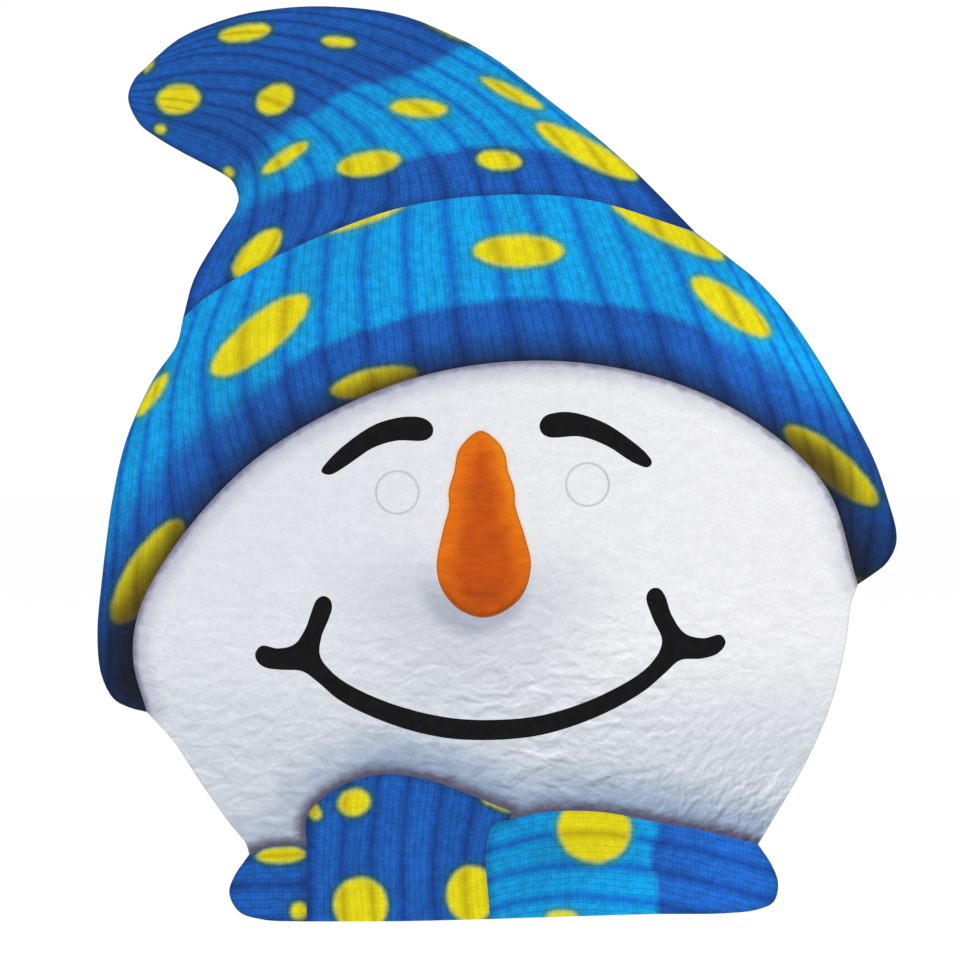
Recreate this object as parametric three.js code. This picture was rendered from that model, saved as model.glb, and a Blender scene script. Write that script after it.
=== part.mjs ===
// Snowman party mask: a flat die-cut card face with a printed front and two punch-out eyes.
// Millimetres. The printed front looks to -Y, +Z is up and +X is the right-hand side seen
// from the front. "Left" and "right" are always as seen from the front.
// The origin is on the back of the card, midway between the two eyes.

import * as THREE from 'three';

// Driving dimensions
const EYE_SPACING = 63;
const EYE_RISE = 2.6;
const EYE_HOLE_RADIUS = 7.1;
const PERFORATION_GAP = 0.3;
const BOARD_THICKNESS = 0.45;
const PRINT_THICKNESS = 0.15;

// Nicks: the small bridges that hold a punch-out eye until it is pushed out
const NICKS_PER_EYE = 4;
const NICK_HALF_ANGLE = THREE.MathUtils.degToRad(3);
const NICK_SHARE = 0.6;
const NICK_REACH = PERFORATION_GAP * NICK_SHARE;

// Paper tabs that hold the ends of the elastic on the back
const TAB_LENGTH = 26;
const TAB_WIDTH = 12;
const TAB_THICKNESS = 0.3;
const TAB_OFFSET = 104;
const TAB_DROP = 4;

// Round outlines are cut into straight pieces: points this far apart, then thinned out to
// those that stand off the straight run between their neighbours by more than the flatness
const CHORD = 1;
const FLATNESS = 0.03;

// How rough each paper is, from 0 for a mirror to 1
const BOARD_ROUGHNESS = 0.85;
const PRINT_ROUGHNESS = 0.45;
const TAB_ROUGHNESS = 0.9;

const BOARD_BACK = 0;
const PRINT_BACK = BOARD_BACK - BOARD_THICKNESS;
const DISC_RADIUS = EYE_HOLE_RADIUS - PERFORATION_GAP;

const COLOUR = {
  board: 0xe9e4d8,
  paper: 0xf2efe6,
  darkKnit: 0x1e58b2,
  lightKnit: 0x18a0e4,
  snow: 0xe2e4e9,
  carrot: 0xd65c14,
  ink: 0x1a1718,
};

// Corners of the outline, and the places where a colour border reaches it
const NOTCH_TOP = [-84.9, 99.6];
const NOTCH_BOTTOM = [-85.4, 91.6];
const TIP_RIGHT = [-7.6, 147.5];
const BAND_RIGHT = [47.5, 105];
const CROWN_RIGHT = [67.2, 85];
const CUFF_MID_RIGHT = [119.6, 23.1];
const CUFF_END_RIGHT = [121.1, -31.8];
const NECK_RIGHT = [88.1, -118];
const SCARF_BORDER_TOP = [54.3, -110.6];
const SCARF_BORDER_BOTTOM = [54.3, -141];
const KNOT_TIP = [6.6, -107.2];
const KNOT_CORNER = [5.9, -109.6];
const KNOT_FOOT_RIGHT = [-0.8, -142.7];
const KNOT_FOOT_LEFT = [-61.5, -143.5];
const KNOT_SIDE = [-61.5, -118.4];
const NECK_LEFT = [-80.6, -121.3];
const CUFF_END_LEFT = [-114.5, -74.1];
const CUFF_MID_LEFT = [-128.7, -23.7];
const CROWN_LEFT = [-102.5, 56.5];

// Only the points of a path that its shape needs
function thinned(path) {
  const start = path[0];
  const end = path.at(-1);
  const along = end.clone().sub(start).normalize();
  let widest = 0;
  let split = 0;
  path.forEach((point, index) => {
    const gap = Math.abs(along.cross(point.clone().sub(start)));
    if (gap > widest) {
      widest = gap;
      split = index;
    }
  });
  if (widest < FLATNESS) {
    return [start, end];
  }
  return [...thinned(path.slice(0, split + 1)).slice(0, -1), ...thinned(path.slice(split))];
}

// Smooth line through the given [x, z] points, cut into short straight pieces
function line(...points) {
  const guide = new THREE.CatmullRomCurve3(
    points.map(([x, z]) => new THREE.Vector3(x, z, 0)),
    false,
    'centripetal',
  );
  const pieces = Math.ceil(guide.getLength() / CHORD);
  const path = guide.getSpacedPoints(pieces).map((point) => new THREE.Vector2(point.x, point.y));
  path[0].set(...points[0]);
  path[pieces].set(...points.at(-1));
  return thinned(path);
}

// Smooth closed loop through the given [x, z] points
function loop(...points) {
  const guide = new THREE.CatmullRomCurve3(
    points.map(([x, z]) => new THREE.Vector3(x, z, 0)),
    true,
    'centripetal',
  );
  const pieces = Math.ceil(guide.getLength() / CHORD);
  const path = guide.getSpacedPoints(pieces).map((point) => new THREE.Vector2(point.x, point.y));
  const middle = Math.floor(pieces / 2);
  return joined(thinned(path.slice(0, middle + 1)), thinned(path.slice(middle)));
}

// One closed outline from lines that meet end to end
function joined(...lines) {
  return lines.flatMap((path) => path.slice(0, -1));
}

function reversed(path) {
  return [...path].reverse();
}

function anticlockwise(path) {
  return THREE.ShapeUtils.isClockWise(path) ? reversed(path) : path;
}

// Circle round an [x, z] centre
function circle([x, z], radius) {
  const pieces = Math.ceil((2 * Math.PI * radius) / CHORD);
  return Array.from({ length: pieces }, (_, index) => {
    const angle = (2 * Math.PI * index) / pieces;
    return new THREE.Vector2(x + radius * Math.cos(angle), z + radius * Math.sin(angle));
  });
}

// Punch-out disc: a circle with a small nick standing out between each pair of quarters
function nickedDisc([x, z]) {
  const outline = [];
  const quarter = (2 * Math.PI) / NICKS_PER_EYE;
  const piecesPerQuarter = Math.ceil((quarter * DISC_RADIUS) / CHORD);
  const addPoint = (radius, angle) => {
    outline.push(new THREE.Vector2(x + radius * Math.cos(angle), z + radius * Math.sin(angle)));
  };
  for (let nick = 0; nick < NICKS_PER_EYE; nick += 1) {
    const middle = (nick + 0.5) * quarter;
    addPoint(DISC_RADIUS + NICK_REACH, middle - NICK_HALF_ANGLE);
    addPoint(DISC_RADIUS + NICK_REACH, middle + NICK_HALF_ANGLE);
    const start = middle + NICK_HALF_ANGLE;
    const sweep = quarter - 2 * NICK_HALF_ANGLE;
    for (let piece = 0; piece <= piecesPerQuarter; piece += 1) {
      addPoint(DISC_RADIUS, start + (sweep * piece) / piecesPerQuarter);
    }
  }
  return outline;
}

// Strip with half-round ends, lying along X
function roundEndedStrip([x, z], length, width) {
  const strip = new THREE.Path();
  const radius = width / 2;
  const reach = length / 2 - radius;
  strip.absarc(x + reach, z, radius, -Math.PI / 2, Math.PI / 2, false);
  strip.absarc(x - reach, z, radius, Math.PI / 2, (3 * Math.PI) / 2, false);
  return strip.getPoints(Math.ceil((Math.PI * radius) / CHORD));
}

// Flat sheet with the given outline and holes; its back face is at Y = back
function sheet(name, colour, roughness, outline, holes, back, thickness) {
  const shape = new THREE.Shape(anticlockwise(outline));
  shape.holes = holes.map((hole) => new THREE.Path(hole));
  const body = new THREE.ExtrudeGeometry(shape, { depth: thickness, bevelEnabled: false });
  body.rotateX(Math.PI / 2);
  body.translate(0, back, 0);
  const finish = new THREE.MeshStandardMaterial({ color: colour, roughness, metalness: 0 });
  const mesh = new THREE.Mesh(body, finish);
  mesh.name = name;
  return mesh;
}

function printed(name, colour, outline, holes = []) {
  return sheet(name, colour, PRINT_ROUGHNESS, outline, holes, PRINT_BACK, PRINT_THICKNESS);
}

// Outer edge, clockwise from the notch under the drooping hat tip
const tipEdge = line(
  NOTCH_TOP, [-86.4, 102.1], [-89.6, 104.4], [-103.6, 111.8], [-111, 116.2], [-117, 120.9],
  [-120.7, 129.2], [-118.9, 135.2], [-115.2, 139.2], [-103.4, 149.3], [-85.2, 156.5],
  [-73.7, 158.7], [-58, 159.8], [-37.5, 158.3], [-25, 155.2], TIP_RIGHT,
);
const bandEdge = line(TIP_RIGHT, [1.5, 142], [18.7, 128.8], [35.8, 115.4], BAND_RIGHT);
const crownRightEdge = line(BAND_RIGHT, [56.4, 96.1], CROWN_RIGHT);
const cuffRightEdge = line(
  CROWN_RIGHT, [78.7, 76.2], [88.3, 68.4], [97.3, 58.4], [107.9, 43.1], CUFF_MID_RIGHT,
);
const cuffRightEnd = line(
  CUFF_MID_RIGHT, [126.5, 9.6], [131.2, -4], [133.9, -14.5], [133.5, -19.6], [130.4, -25],
  [126, -28.5], CUFF_END_RIGHT,
);
const cheekRightEdge = line(
  CUFF_END_RIGHT, [118.9, -38], [117.3, -50], [112.7, -70], [104.3, -90], NECK_RIGHT,
);
const scarfRightEnd = line(
  NECK_RIGHT, [92.4, -124.4], [94.7, -130.8], [93.2, -137], [87.6, -139.6], [77, -140.8],
  SCARF_BORDER_BOTTOM,
);
const scarfBottom = line(SCARF_BORDER_BOTTOM, [26, -141.8], KNOT_FOOT_RIGHT);
const knotBottom = line(KNOT_FOOT_RIGHT, [-30, -143.4], KNOT_FOOT_LEFT);
const scarfLeftEnd = line(
  KNOT_FOOT_LEFT, [-76, -142.9], [-84, -140.2], [-87.2, -134], [-85.5, -128.4], NECK_LEFT,
);
const cheekLeftEdge = line(
  NECK_LEFT, [-81.8, -117.5], [-86.7, -111.5], [-96.7, -97.4], [-106.1, -83.2], CUFF_END_LEFT,
);
const cuffLeftEnd = line(
  CUFF_END_LEFT, [-120.6, -72.5], [-125.6, -69.6], [-129.6, -61.6], [-130.9, -48],
  CUFF_MID_LEFT,
);
const cuffLeftEdge = line(
  CUFF_MID_LEFT, [-126, -4], [-121.4, 16], [-112.6, 35.8], [-104.6, 47.7], CROWN_LEFT,
);
const crownLeftEdge = line(CROWN_LEFT, [-98.9, 69.4], [-91.5, 82.4], NOTCH_BOTTOM);
const notchEdge = line(NOTCH_BOTTOM, [-84.1, 96], NOTCH_TOP);

// Borders between the colours of the hat, from left to right
const tipBorder = line(
  NOTCH_TOP, [-78, 108.6], [-66, 120.4], [-50, 130.6], [-27, 137.2], TIP_RIGHT,
);
const bandBorder = line(
  NOTCH_BOTTOM, [-70, 98], [-57.5, 102.6], [-30, 109], [-8, 113.4], [12, 113.2], [30, 108.6],
  BAND_RIGHT,
);
const cuffTopBorder = line(
  CROWN_LEFT, [-96, 62.4], [-77.6, 73.8], [-55.5, 84.2], [-28, 93.6], [5.8, 97.4], [32, 95.6],
  CROWN_RIGHT,
);
const cuffMidBorder = line(
  CUFF_MID_LEFT, [-120.6, -8], [-103.6, 13.4], [-77, 34], [-47, 51], [-15, 60.6], [22, 63],
  [60, 56], [92, 42.4], CUFF_MID_RIGHT,
);
const cuffBottomBorder = line(
  CUFF_END_LEFT, [-119, -57], [-117.4, -41.6], [-107, -21.6], [-82, 6.9], [-50, 27.1],
  [-16, 39.1], [22.4, 42.2], [60, 35.2], [90, 20.2], [111, -0.2], CUFF_END_RIGHT,
);

// Borders of the scarf
const scarfLeftTop = line(NECK_LEFT, [-74, -119], KNOT_SIDE);
const knotFootSide = line(KNOT_SIDE, KNOT_FOOT_LEFT);
const knotTop = line(
  KNOT_SIDE, [-61.5, -109], [-53.4, -100.4], [-38, -94.9], [-22, -96.4], KNOT_TIP,
);
const knotTipSide = line(KNOT_TIP, KNOT_CORNER);
const knotRightSide = line(KNOT_CORNER, [0.4, -111.4], [-2, -119], KNOT_FOOT_RIGHT);
const scarfRightTop = line(KNOT_CORNER, [18, -107.2], [36, -107.2], SCARF_BORDER_TOP);
const scarfFarTop = line(SCARF_BORDER_TOP, [71, -113.6], NECK_RIGHT);
const scarfColourBorder = line(SCARF_BORDER_TOP, [53.3, -126], SCARF_BORDER_BOTTOM);

// Features printed on the face
const carrotNose = loop(
  [-4.1, 19.1], [0.6, 16.6], [4, 12], [5.2, 5.8], [7.3, -0.4], [7.6, -5.8], [10.5, -15],
  [12.8, -25.6], [10.2, -35], [3.9, -40.8], [-3.4, -42.8], [-11.2, -40], [-16.7, -33.5],
  [-18.5, -26], [-16.4, -14], [-14.4, -6.4], [-14.5, -1], [-12.7, 5.5], [-10.9, 13.2],
);
const leftBrow = loop(
  [-56.7, 5.6], [-54, 9.7], [-46.1, 16.7], [-38, 21.6], [-28.6, 23.8], [-22.6, 23.2],
  [-19.9, 20.9], [-19.8, 18], [-22.2, 16], [-31.9, 15.8], [-39.8, 13.3], [-47.8, 7.9],
  [-54, 4.5],
);
const rightBrow = loop(
  [15.6, 20.9], [17.2, 23.8], [20.8, 25.1], [26.6, 25.2], [37.1, 21.8], [46.2, 15.8],
  [51.6, 11], [52.9, 8.5], [51.6, 7], [46.8, 8.5], [38.1, 14], [29, 17.2], [19.2, 16.9],
  [16.5, 18.2],
);
const smile = loop(
  [-78.6, -54.7], [-78, -57.2], [-75.4, -59.3], [-69.9, -60.1], [-63, -60.6], [-57.7, -64.3],
  [-50.5, -70.3], [-34, -78], [-16, -82.6], [2, -83.3], [18, -81.3], [36.2, -75],
  [50.2, -67.2], [57.2, -61.2], [62.3, -56.9], [69.3, -56.4], [74.8, -54.6], [77.3, -51.1],
  [75.7, -48.5], [69.9, -49.6], [63.8, -48], [59.4, -41.9], [57.2, -35.5], [55.2, -33.1],
  [52.7, -33.2], [51, -35.9], [53, -42.8], [56.2, -50.8], [52.1, -58.5], [38, -67.6],
  [18, -74.8], [0, -76.7], [-16, -75.7], [-34, -71.1], [-48, -64.7], [-53.6, -60.4],
  [-57.1, -55.4], [-56.6, -49.1], [-54.2, -43.2], [-53.1, -39.2], [-53.9, -36.6],
  [-56, -35.6], [-58.2, -36.8], [-59.6, -39.8], [-61.9, -46.3], [-65.6, -51.6], [-71, -53],
  [-76.5, -52.1],
);

const leftEye = [-EYE_SPACING / 2, -EYE_RISE / 2];
const rightEye = [EYE_SPACING / 2, EYE_RISE / 2];
const leftEyeHole = circle(leftEye, EYE_HOLE_RADIUS);
const rightEyeHole = circle(rightEye, EYE_HOLE_RADIUS);

const mask = new THREE.Group();
mask.name = 'snowman_mask';

// The die-cut card
const boardOutline = joined(
  tipEdge, bandEdge, crownRightEdge, cuffRightEdge, cuffRightEnd, cheekRightEdge,
  scarfRightEnd, scarfBottom, knotBottom, scarfLeftEnd, cheekLeftEdge, cuffLeftEnd,
  cuffLeftEdge, crownLeftEdge, notchEdge,
);
mask.add(sheet(
  'backing_board', COLOUR.board, BOARD_ROUGHNESS, boardOutline, [leftEyeHole, rightEyeHole],
  BOARD_BACK, BOARD_THICKNESS,
));

// The printed sheet on its front, one area for each colour
mask.add(printed('print_hat_tip', COLOUR.darkKnit, joined(tipEdge, reversed(tipBorder))));
mask.add(printed(
  'print_hat_band', COLOUR.lightKnit,
  joined(tipBorder, bandEdge, reversed(bandBorder), notchEdge),
));
mask.add(printed(
  'print_hat_crown', COLOUR.darkKnit,
  joined(bandBorder, crownRightEdge, reversed(cuffTopBorder), crownLeftEdge),
));
mask.add(printed(
  'print_cuff_upper', COLOUR.lightKnit,
  joined(cuffTopBorder, cuffRightEdge, reversed(cuffMidBorder), cuffLeftEdge),
));
mask.add(printed(
  'print_cuff_lower', COLOUR.darkKnit,
  joined(cuffMidBorder, cuffRightEnd, reversed(cuffBottomBorder), cuffLeftEnd),
));
mask.add(printed(
  'print_face', COLOUR.snow,
  joined(
    cuffBottomBorder, cheekRightEdge, reversed(scarfFarTop), reversed(scarfRightTop),
    reversed(knotTipSide), reversed(knotTop), reversed(scarfLeftTop), cheekLeftEdge,
  ),
  [carrotNose, leftBrow, rightBrow, smile, leftEyeHole, rightEyeHole],
));
mask.add(printed('print_nose', COLOUR.carrot, carrotNose));
mask.add(printed('print_brow_left', COLOUR.ink, leftBrow));
mask.add(printed('print_brow_right', COLOUR.ink, rightBrow));
mask.add(printed('print_smile', COLOUR.ink, smile));
mask.add(printed(
  'print_scarf_left', COLOUR.darkKnit,
  joined(scarfLeftTop, knotFootSide, scarfLeftEnd),
));
mask.add(printed(
  'print_scarf_knot', COLOUR.darkKnit,
  joined(knotTop, knotTipSide, knotRightSide, knotBottom, reversed(knotFootSide)),
));
mask.add(printed(
  'print_scarf_middle', COLOUR.lightKnit,
  joined(scarfRightTop, scarfColourBorder, scarfBottom, reversed(knotRightSide)),
));
mask.add(printed(
  'print_scarf_right', COLOUR.darkKnit,
  joined(scarfFarTop, scarfRightEnd, reversed(scarfColourBorder)),
));

// The two punch-out eyes: card with its own piece of the printed sheet
for (const [side, centre] of [['left', leftEye], ['right', rightEye]]) {
  const outline = nickedDisc(centre);
  mask.add(sheet(
    `eye_disc_${side}`, COLOUR.board, BOARD_ROUGHNESS, outline, [], BOARD_BACK,
    BOARD_THICKNESS,
  ));
  mask.add(printed(`print_eye_${side}`, COLOUR.snow, outline));
}

// The elastic tabs, stuck on the back at the temples
for (const [side, direction] of [['left', -1], ['right', 1]]) {
  const outline = roundEndedStrip([direction * TAB_OFFSET, -TAB_DROP], TAB_LENGTH, TAB_WIDTH);
  mask.add(sheet(
    `elastic_tab_${side}`, COLOUR.paper, TAB_ROUGHNESS, outline, [],
    BOARD_BACK + TAB_THICKNESS, TAB_THICKNESS,
  ));
}

export default mask;
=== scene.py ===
# Snowman party mask: the printed look of a die-cut card face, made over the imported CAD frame.
# Metres. The print looks to -Y, +Z is up and +X is to the right seen from the front.
# "Left" and "right" are always as seen from the front. Places on the card are (x, z) pairs.
import math

import bpy
import numpy as np
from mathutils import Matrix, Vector
from mathutils.bvhtree import BVHTree
from mathutils.geometry import barycentric_transform, delaunay_2d_cdt


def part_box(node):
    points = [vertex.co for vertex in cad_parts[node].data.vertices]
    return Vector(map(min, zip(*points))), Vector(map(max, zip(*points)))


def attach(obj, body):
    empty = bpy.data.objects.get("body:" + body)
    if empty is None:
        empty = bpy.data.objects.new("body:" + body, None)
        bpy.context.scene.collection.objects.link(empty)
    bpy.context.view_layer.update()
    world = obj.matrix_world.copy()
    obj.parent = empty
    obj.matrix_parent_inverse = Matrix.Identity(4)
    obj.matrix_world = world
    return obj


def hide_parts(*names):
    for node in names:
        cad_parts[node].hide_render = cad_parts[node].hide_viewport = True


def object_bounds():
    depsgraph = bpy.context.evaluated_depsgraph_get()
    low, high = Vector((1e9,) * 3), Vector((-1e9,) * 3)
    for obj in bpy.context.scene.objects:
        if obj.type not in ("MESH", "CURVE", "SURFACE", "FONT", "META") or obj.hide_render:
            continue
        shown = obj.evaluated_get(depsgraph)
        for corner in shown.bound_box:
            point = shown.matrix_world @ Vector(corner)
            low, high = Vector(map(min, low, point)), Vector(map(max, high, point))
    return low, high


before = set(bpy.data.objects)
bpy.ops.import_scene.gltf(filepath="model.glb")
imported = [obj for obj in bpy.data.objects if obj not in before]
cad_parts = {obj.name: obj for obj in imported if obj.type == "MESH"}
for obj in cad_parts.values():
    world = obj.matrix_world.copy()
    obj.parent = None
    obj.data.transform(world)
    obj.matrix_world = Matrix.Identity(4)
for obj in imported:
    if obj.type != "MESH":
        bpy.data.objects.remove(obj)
CAD_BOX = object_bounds()

MICROMETRE = 1e-6
TINY = 1e-9

# Points this close to a sheet's front lie on it, and points this close together are one point
FLATNESS = 10 * MICROMETRE
SAME_POINT = MICROMETRE / 10

# Farther than any two places on the mask
FAR = 1.0

# Spacing of the mesh points that carry the print's fields, and the share of it that the
# points inside a sheet stay away from its edge
KNIT_MESH = 0.00125
FACE_MESH = 0.002
SMALL_MESH = 0.001
EDGE_CLEARANCE = 0.6

# Knitted cloth: fine wales in each broad rib, and the height of one row of stitches
WALES_PER_RIB = 5
ROW_HEIGHT = 0.0015

# Average height of the stitch pattern, from 0 in its gaps to 1 on its loops
MEAN_LOOP = 0.43

# Camera: square on to the print, which it sees this wide, with this place in the middle
LENS = 85
SENSOR = 36
VIEW_WIDTH = 0.3181
VIEW_CENTRE = (-0.0041, 0.0028)

# The perforation round each punch-out eye, and the share of it that the disc's print covers
PERFORATION_GAP = 0.0003
PRINT_OVERHANG = 0.9

# Straight sides of a printed disc
DISC_SIDES = 72

# How bright the studio makes a white card facing the camera, and the haze its gloss adds
LIGHT_LEVEL = 1.12
GLOSS_HAZE = 0.0092


# ---------------------------------------------------------------- outlines

def flat_outlines(node):
    """Closed outlines of a flat CAD node's front face, each an array of (x, z) places."""
    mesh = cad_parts[node].data
    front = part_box(node)[0].y
    follow = {}
    edges = set()
    for polygon in mesh.polygons:
        corners = [mesh.vertices[index].co for index in polygon.vertices]
        if max(abs(corner.y - front) for corner in corners) < FLATNESS:
            keys = [(round(c.x / MICROMETRE), round(c.z / MICROMETRE)) for c in corners]
            edges.update(zip(keys, keys[1:] + keys[:1]))
    for start, end in edges:
        if (end, start) not in edges:
            follow[start] = end
    outlines = []
    while follow:
        start = next(iter(sorted(follow)))
        walk = [start]
        key = follow.pop(start)
        while key != start:
            walk.append(key)
            key = follow.pop(key)
        outlines.append(np.array(walk) * MICROMETRE)
    return outlines


def refined(outline, spacing):
    """The same outline with extra places along its longer sides."""
    places = []
    for start, end in zip(outline, np.roll(outline, -1, axis=0)):
        count = max(1, round(np.linalg.norm(end - start) / spacing))
        places += [start + (end - start) * step / count for step in range(count)]
    return np.array(places)


def sides(outlines):
    """Straight pieces (start, end) of closed outlines."""
    return [
        (start, end)
        for outline in outlines
        for start, end in zip(outline, np.roll(outline, -1, axis=0))
    ]


def shared_border(node, neighbour):
    """Straight pieces of a node's outline that also lie on its neighbour's outline."""
    rim = {tuple(np.round(place / MICROMETRE)) for place in np.vstack(OUTLINES[neighbour])}
    return [
        (start, end)
        for start, end in sides(OUTLINES[node])
        if tuple(np.round(start / MICROMETRE)) in rim and tuple(np.round(end / MICROMETRE)) in rim
    ]


def distance_to(pieces, places):
    """Distance from each place to the nearest of some straight pieces."""
    nearest = np.full(len(places), FAR)
    for start, end in pieces:
        along = end - start
        share = np.clip((places - start) @ along / max(along @ along, TINY ** 2), 0, 1)
        gap = np.linalg.norm(places - start - share[:, None] * along, axis=1)
        nearest = np.minimum(nearest, gap)
    return nearest


def inside(outlines, places):
    """True for each place that lies inside the outlines and outside their holes."""
    x, z = places.T
    result = np.zeros(len(places), bool)
    for (x0, z0), (x1, z1) in sides(outlines):
        if z0 != z1:
            straddles = (z0 > z) != (z1 > z)
            result ^= straddles & (x < x0 + (z - z0) * (x1 - x0) / (z1 - z0))
    return result


# ---------------------------------------------------------------- printed sheets

def lattice(outlines, spacing):
    """Evenly spaced places inside the outlines, clear of their edges."""
    low = np.min(np.vstack(outlines), axis=0)
    high = np.max(np.vstack(outlines), axis=0)
    row_gap = spacing * math.sqrt(3) / 2
    rows = np.arange(low[1], high[1], row_gap)
    columns = np.arange(low[0], high[0], spacing)
    x, z = np.meshgrid(columns, rows)
    x[1::2] += spacing / 2
    places = np.column_stack([x.ravel(), z.ravel()])
    places = places[inside(outlines, places)]
    return places[distance_to(sides(outlines), places) > EDGE_CLEARANCE * spacing]


def disc_outline(node):
    """Circle round a punch-out eye that all but closes the perforation."""
    low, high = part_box(node)
    radius = (high.x - low.x) / 2 + PRINT_OVERHANG * PERFORATION_GAP
    angles = np.linspace(0, 2 * math.pi, DISC_SIDES, endpoint=False)
    middle = ((low.x + high.x) / 2, (low.z + high.z) / 2)
    return middle + radius * np.column_stack([np.cos(angles), np.sin(angles)])


def printed_sheet(node, spacing, body="mask", outlines=None):
    """Closed thin sheet in place of a CAD print, with fine mesh for its fields."""
    outlines = [refined(outline, spacing) for outline in outlines or OUTLINES[node]]
    rim = np.vstack(outlines)
    places = np.vstack([rim, lattice(outlines, spacing)])
    edges = []
    first = 0
    for outline in outlines:
        count = len(outline)
        edges += [(first + step, first + (step + 1) % count) for step in range(count)]
        first += count
    made, _, triangles, *_ = delaunay_2d_cdt(
        [Vector(place) for place in places], edges, [], 0, SAME_POINT
    )
    places = np.array([tuple(place) for place in made])
    middles = np.array([places[list(triangle)].mean(axis=0) for triangle in triangles])
    kept = inside(outlines, middles)
    front_faces = [tuple(t) for t, keep in zip(triangles, kept) if keep]
    low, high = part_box(node)
    count = len(places)
    front = [(x, low.y, z) for x, z in places]
    back = [(x, high.y, z) for x, z in places]
    back_faces = [tuple(count + index for index in reversed(face)) for face in front_faces]
    walls = {}
    for face in front_faces:
        for start, end in zip(face, face[1:] + face[:1]):
            if walls.pop((end, start), None) is None:
                walls[(start, end)] = (end, start, count + start, count + end)
    mesh = bpy.data.meshes.new(node.replace("print_", "printed_"))
    mesh.from_pydata(front + back, [], front_faces + back_faces + list(walls.values()))
    piece = bpy.data.objects.new(mesh.name, mesh)
    bpy.context.scene.collection.objects.link(piece)
    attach(piece, body)
    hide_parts(node)
    return piece


def places_of(piece):
    """(x, z) of every mesh point of a piece."""
    points = np.array([tuple(vertex.co) for vertex in piece.data.vertices])
    return points[:, [0, 2]]


def store(piece, name, values):
    """Keeps one number for each mesh point, for the materials to read."""
    field = piece.data.attributes.new(name, "FLOAT", "POINT")
    field.data.foreach_set("value", np.asarray(values, np.float32))


# ---------------------------------------------------------------- knitted cloth

def smooth(knots, values, at):
    """Smooth curve through the values at the knots, read at other places."""
    slopes = np.gradient(values, knots, axis=0)
    index = np.clip(np.searchsorted(knots, at, side="right") - 1, 0, len(knots) - 2)
    shape = (-1,) + (1,) * (values.ndim - 1)
    step = (knots[index + 1] - knots[index]).reshape(shape)
    t = ((at - knots[index]).reshape(shape)) / step
    return (
        (1 + 2 * t) * (1 - t) ** 2 * values[index]
        + t * (1 - t) ** 2 * step * slopes[index]
        + t ** 2 * (3 - 2 * t) * values[index + 1]
        + t ** 2 * (t - 1) * step * slopes[index + 1]
    )


class Chart:
    """Finds the rib number and the distance along the rib for any place on a cloth."""

    STEPS_ALONG = 48
    STEPS_PER_RIB = 6

    def __init__(self, ribs):
        shares = np.linspace(0, 1, self.STEPS_ALONG + 1)
        lines = []
        lengths = []
        for line in ribs.values():
            points = np.array(line)
            gaps = np.linalg.norm(np.diff(points, axis=0), axis=1)
            knots = np.concatenate([[0], np.cumsum(gaps)])
            lines.append(smooth(knots / knots[-1], points, shares))
            lengths.append(knots[-1])
        numbers = np.array(list(ribs), float)
        count = round((numbers[-1] - numbers[0]) * self.STEPS_PER_RIB) + 1
        across = np.linspace(numbers[0], numbers[-1], count)
        net = smooth(numbers, np.array(lines), across)
        width = self.STEPS_ALONG + 1
        self.spots = [Vector((x, 0, z)) for x, z in net.reshape(-1, 2)]
        length = float(np.mean(lengths))
        self.readings = [Vector((rib, share * length, 0)) for rib in across for share in shares]
        self.triangles = []
        for rib in range(count - 1):
            for step in range(width - 1):
                corner = rib * width + step
                self.triangles.append((corner, corner + 1, corner + width))
                self.triangles.append((corner + 1, corner + width + 1, corner + width))
        self.tree = BVHTree.FromPolygons(self.spots, self.triangles)

    def read(self, places):
        """Rib numbers and distances along the rib, one pair for each place."""
        result = []
        for x, z in places:
            spot, _, face, _ = self.tree.find_nearest(Vector((x, 0, z)))
            corners = self.triangles[face]
            reading = barycentric_transform(
                spot, *[self.spots[c] for c in corners], *[self.readings[c] for c in corners]
            )
            result.append((reading.x, reading.y))
        return np.array(result).T


# Grooves between the broad ribs, by number, as lines along the knit.
# The cuff's run from its top edge down to the hem.
CUFF_RIBS = {
    -2: [(-0.110, 0.049), (-0.129, 0.003), (-0.133, -0.037), (-0.135, -0.080)],
    0: [(-0.106, 0.051), (-0.114, 0.023), (-0.117, -0.007), (-0.118, -0.057)],
    2: [(-0.088, 0.068), (-0.095, 0.048), (-0.095, 0.026), (-0.089, 0.000)],
    4: [(-0.067, 0.081), (-0.069, 0.059), (-0.069, 0.039), (-0.064, 0.019)],
    6: [(-0.041, 0.090), (-0.043, 0.072), (-0.042, 0.053), (-0.039, 0.031)],
    8: [(-0.016, 0.097), (-0.014, 0.077), (-0.012, 0.059), (-0.009, 0.039)],
    10: [(0.011, 0.099), (0.017, 0.079), (0.022, 0.061), (0.028, 0.042)],
    12: [(0.038, 0.096), (0.047, 0.075), (0.054, 0.055), (0.061, 0.033)],
    14: [(0.065, 0.086), (0.076, 0.067), (0.085, 0.047), (0.095, 0.017)],
    16: [(0.083, 0.075), (0.096, 0.051), (0.107, 0.029), (0.115, -0.005)],
    18: [(0.102, 0.056), (0.117, 0.026), (0.126, 0.003), (0.122, -0.034)],
    20: [(0.118, 0.036), (0.130, 0.009), (0.138, -0.012), (0.135, -0.040)],
}
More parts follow.
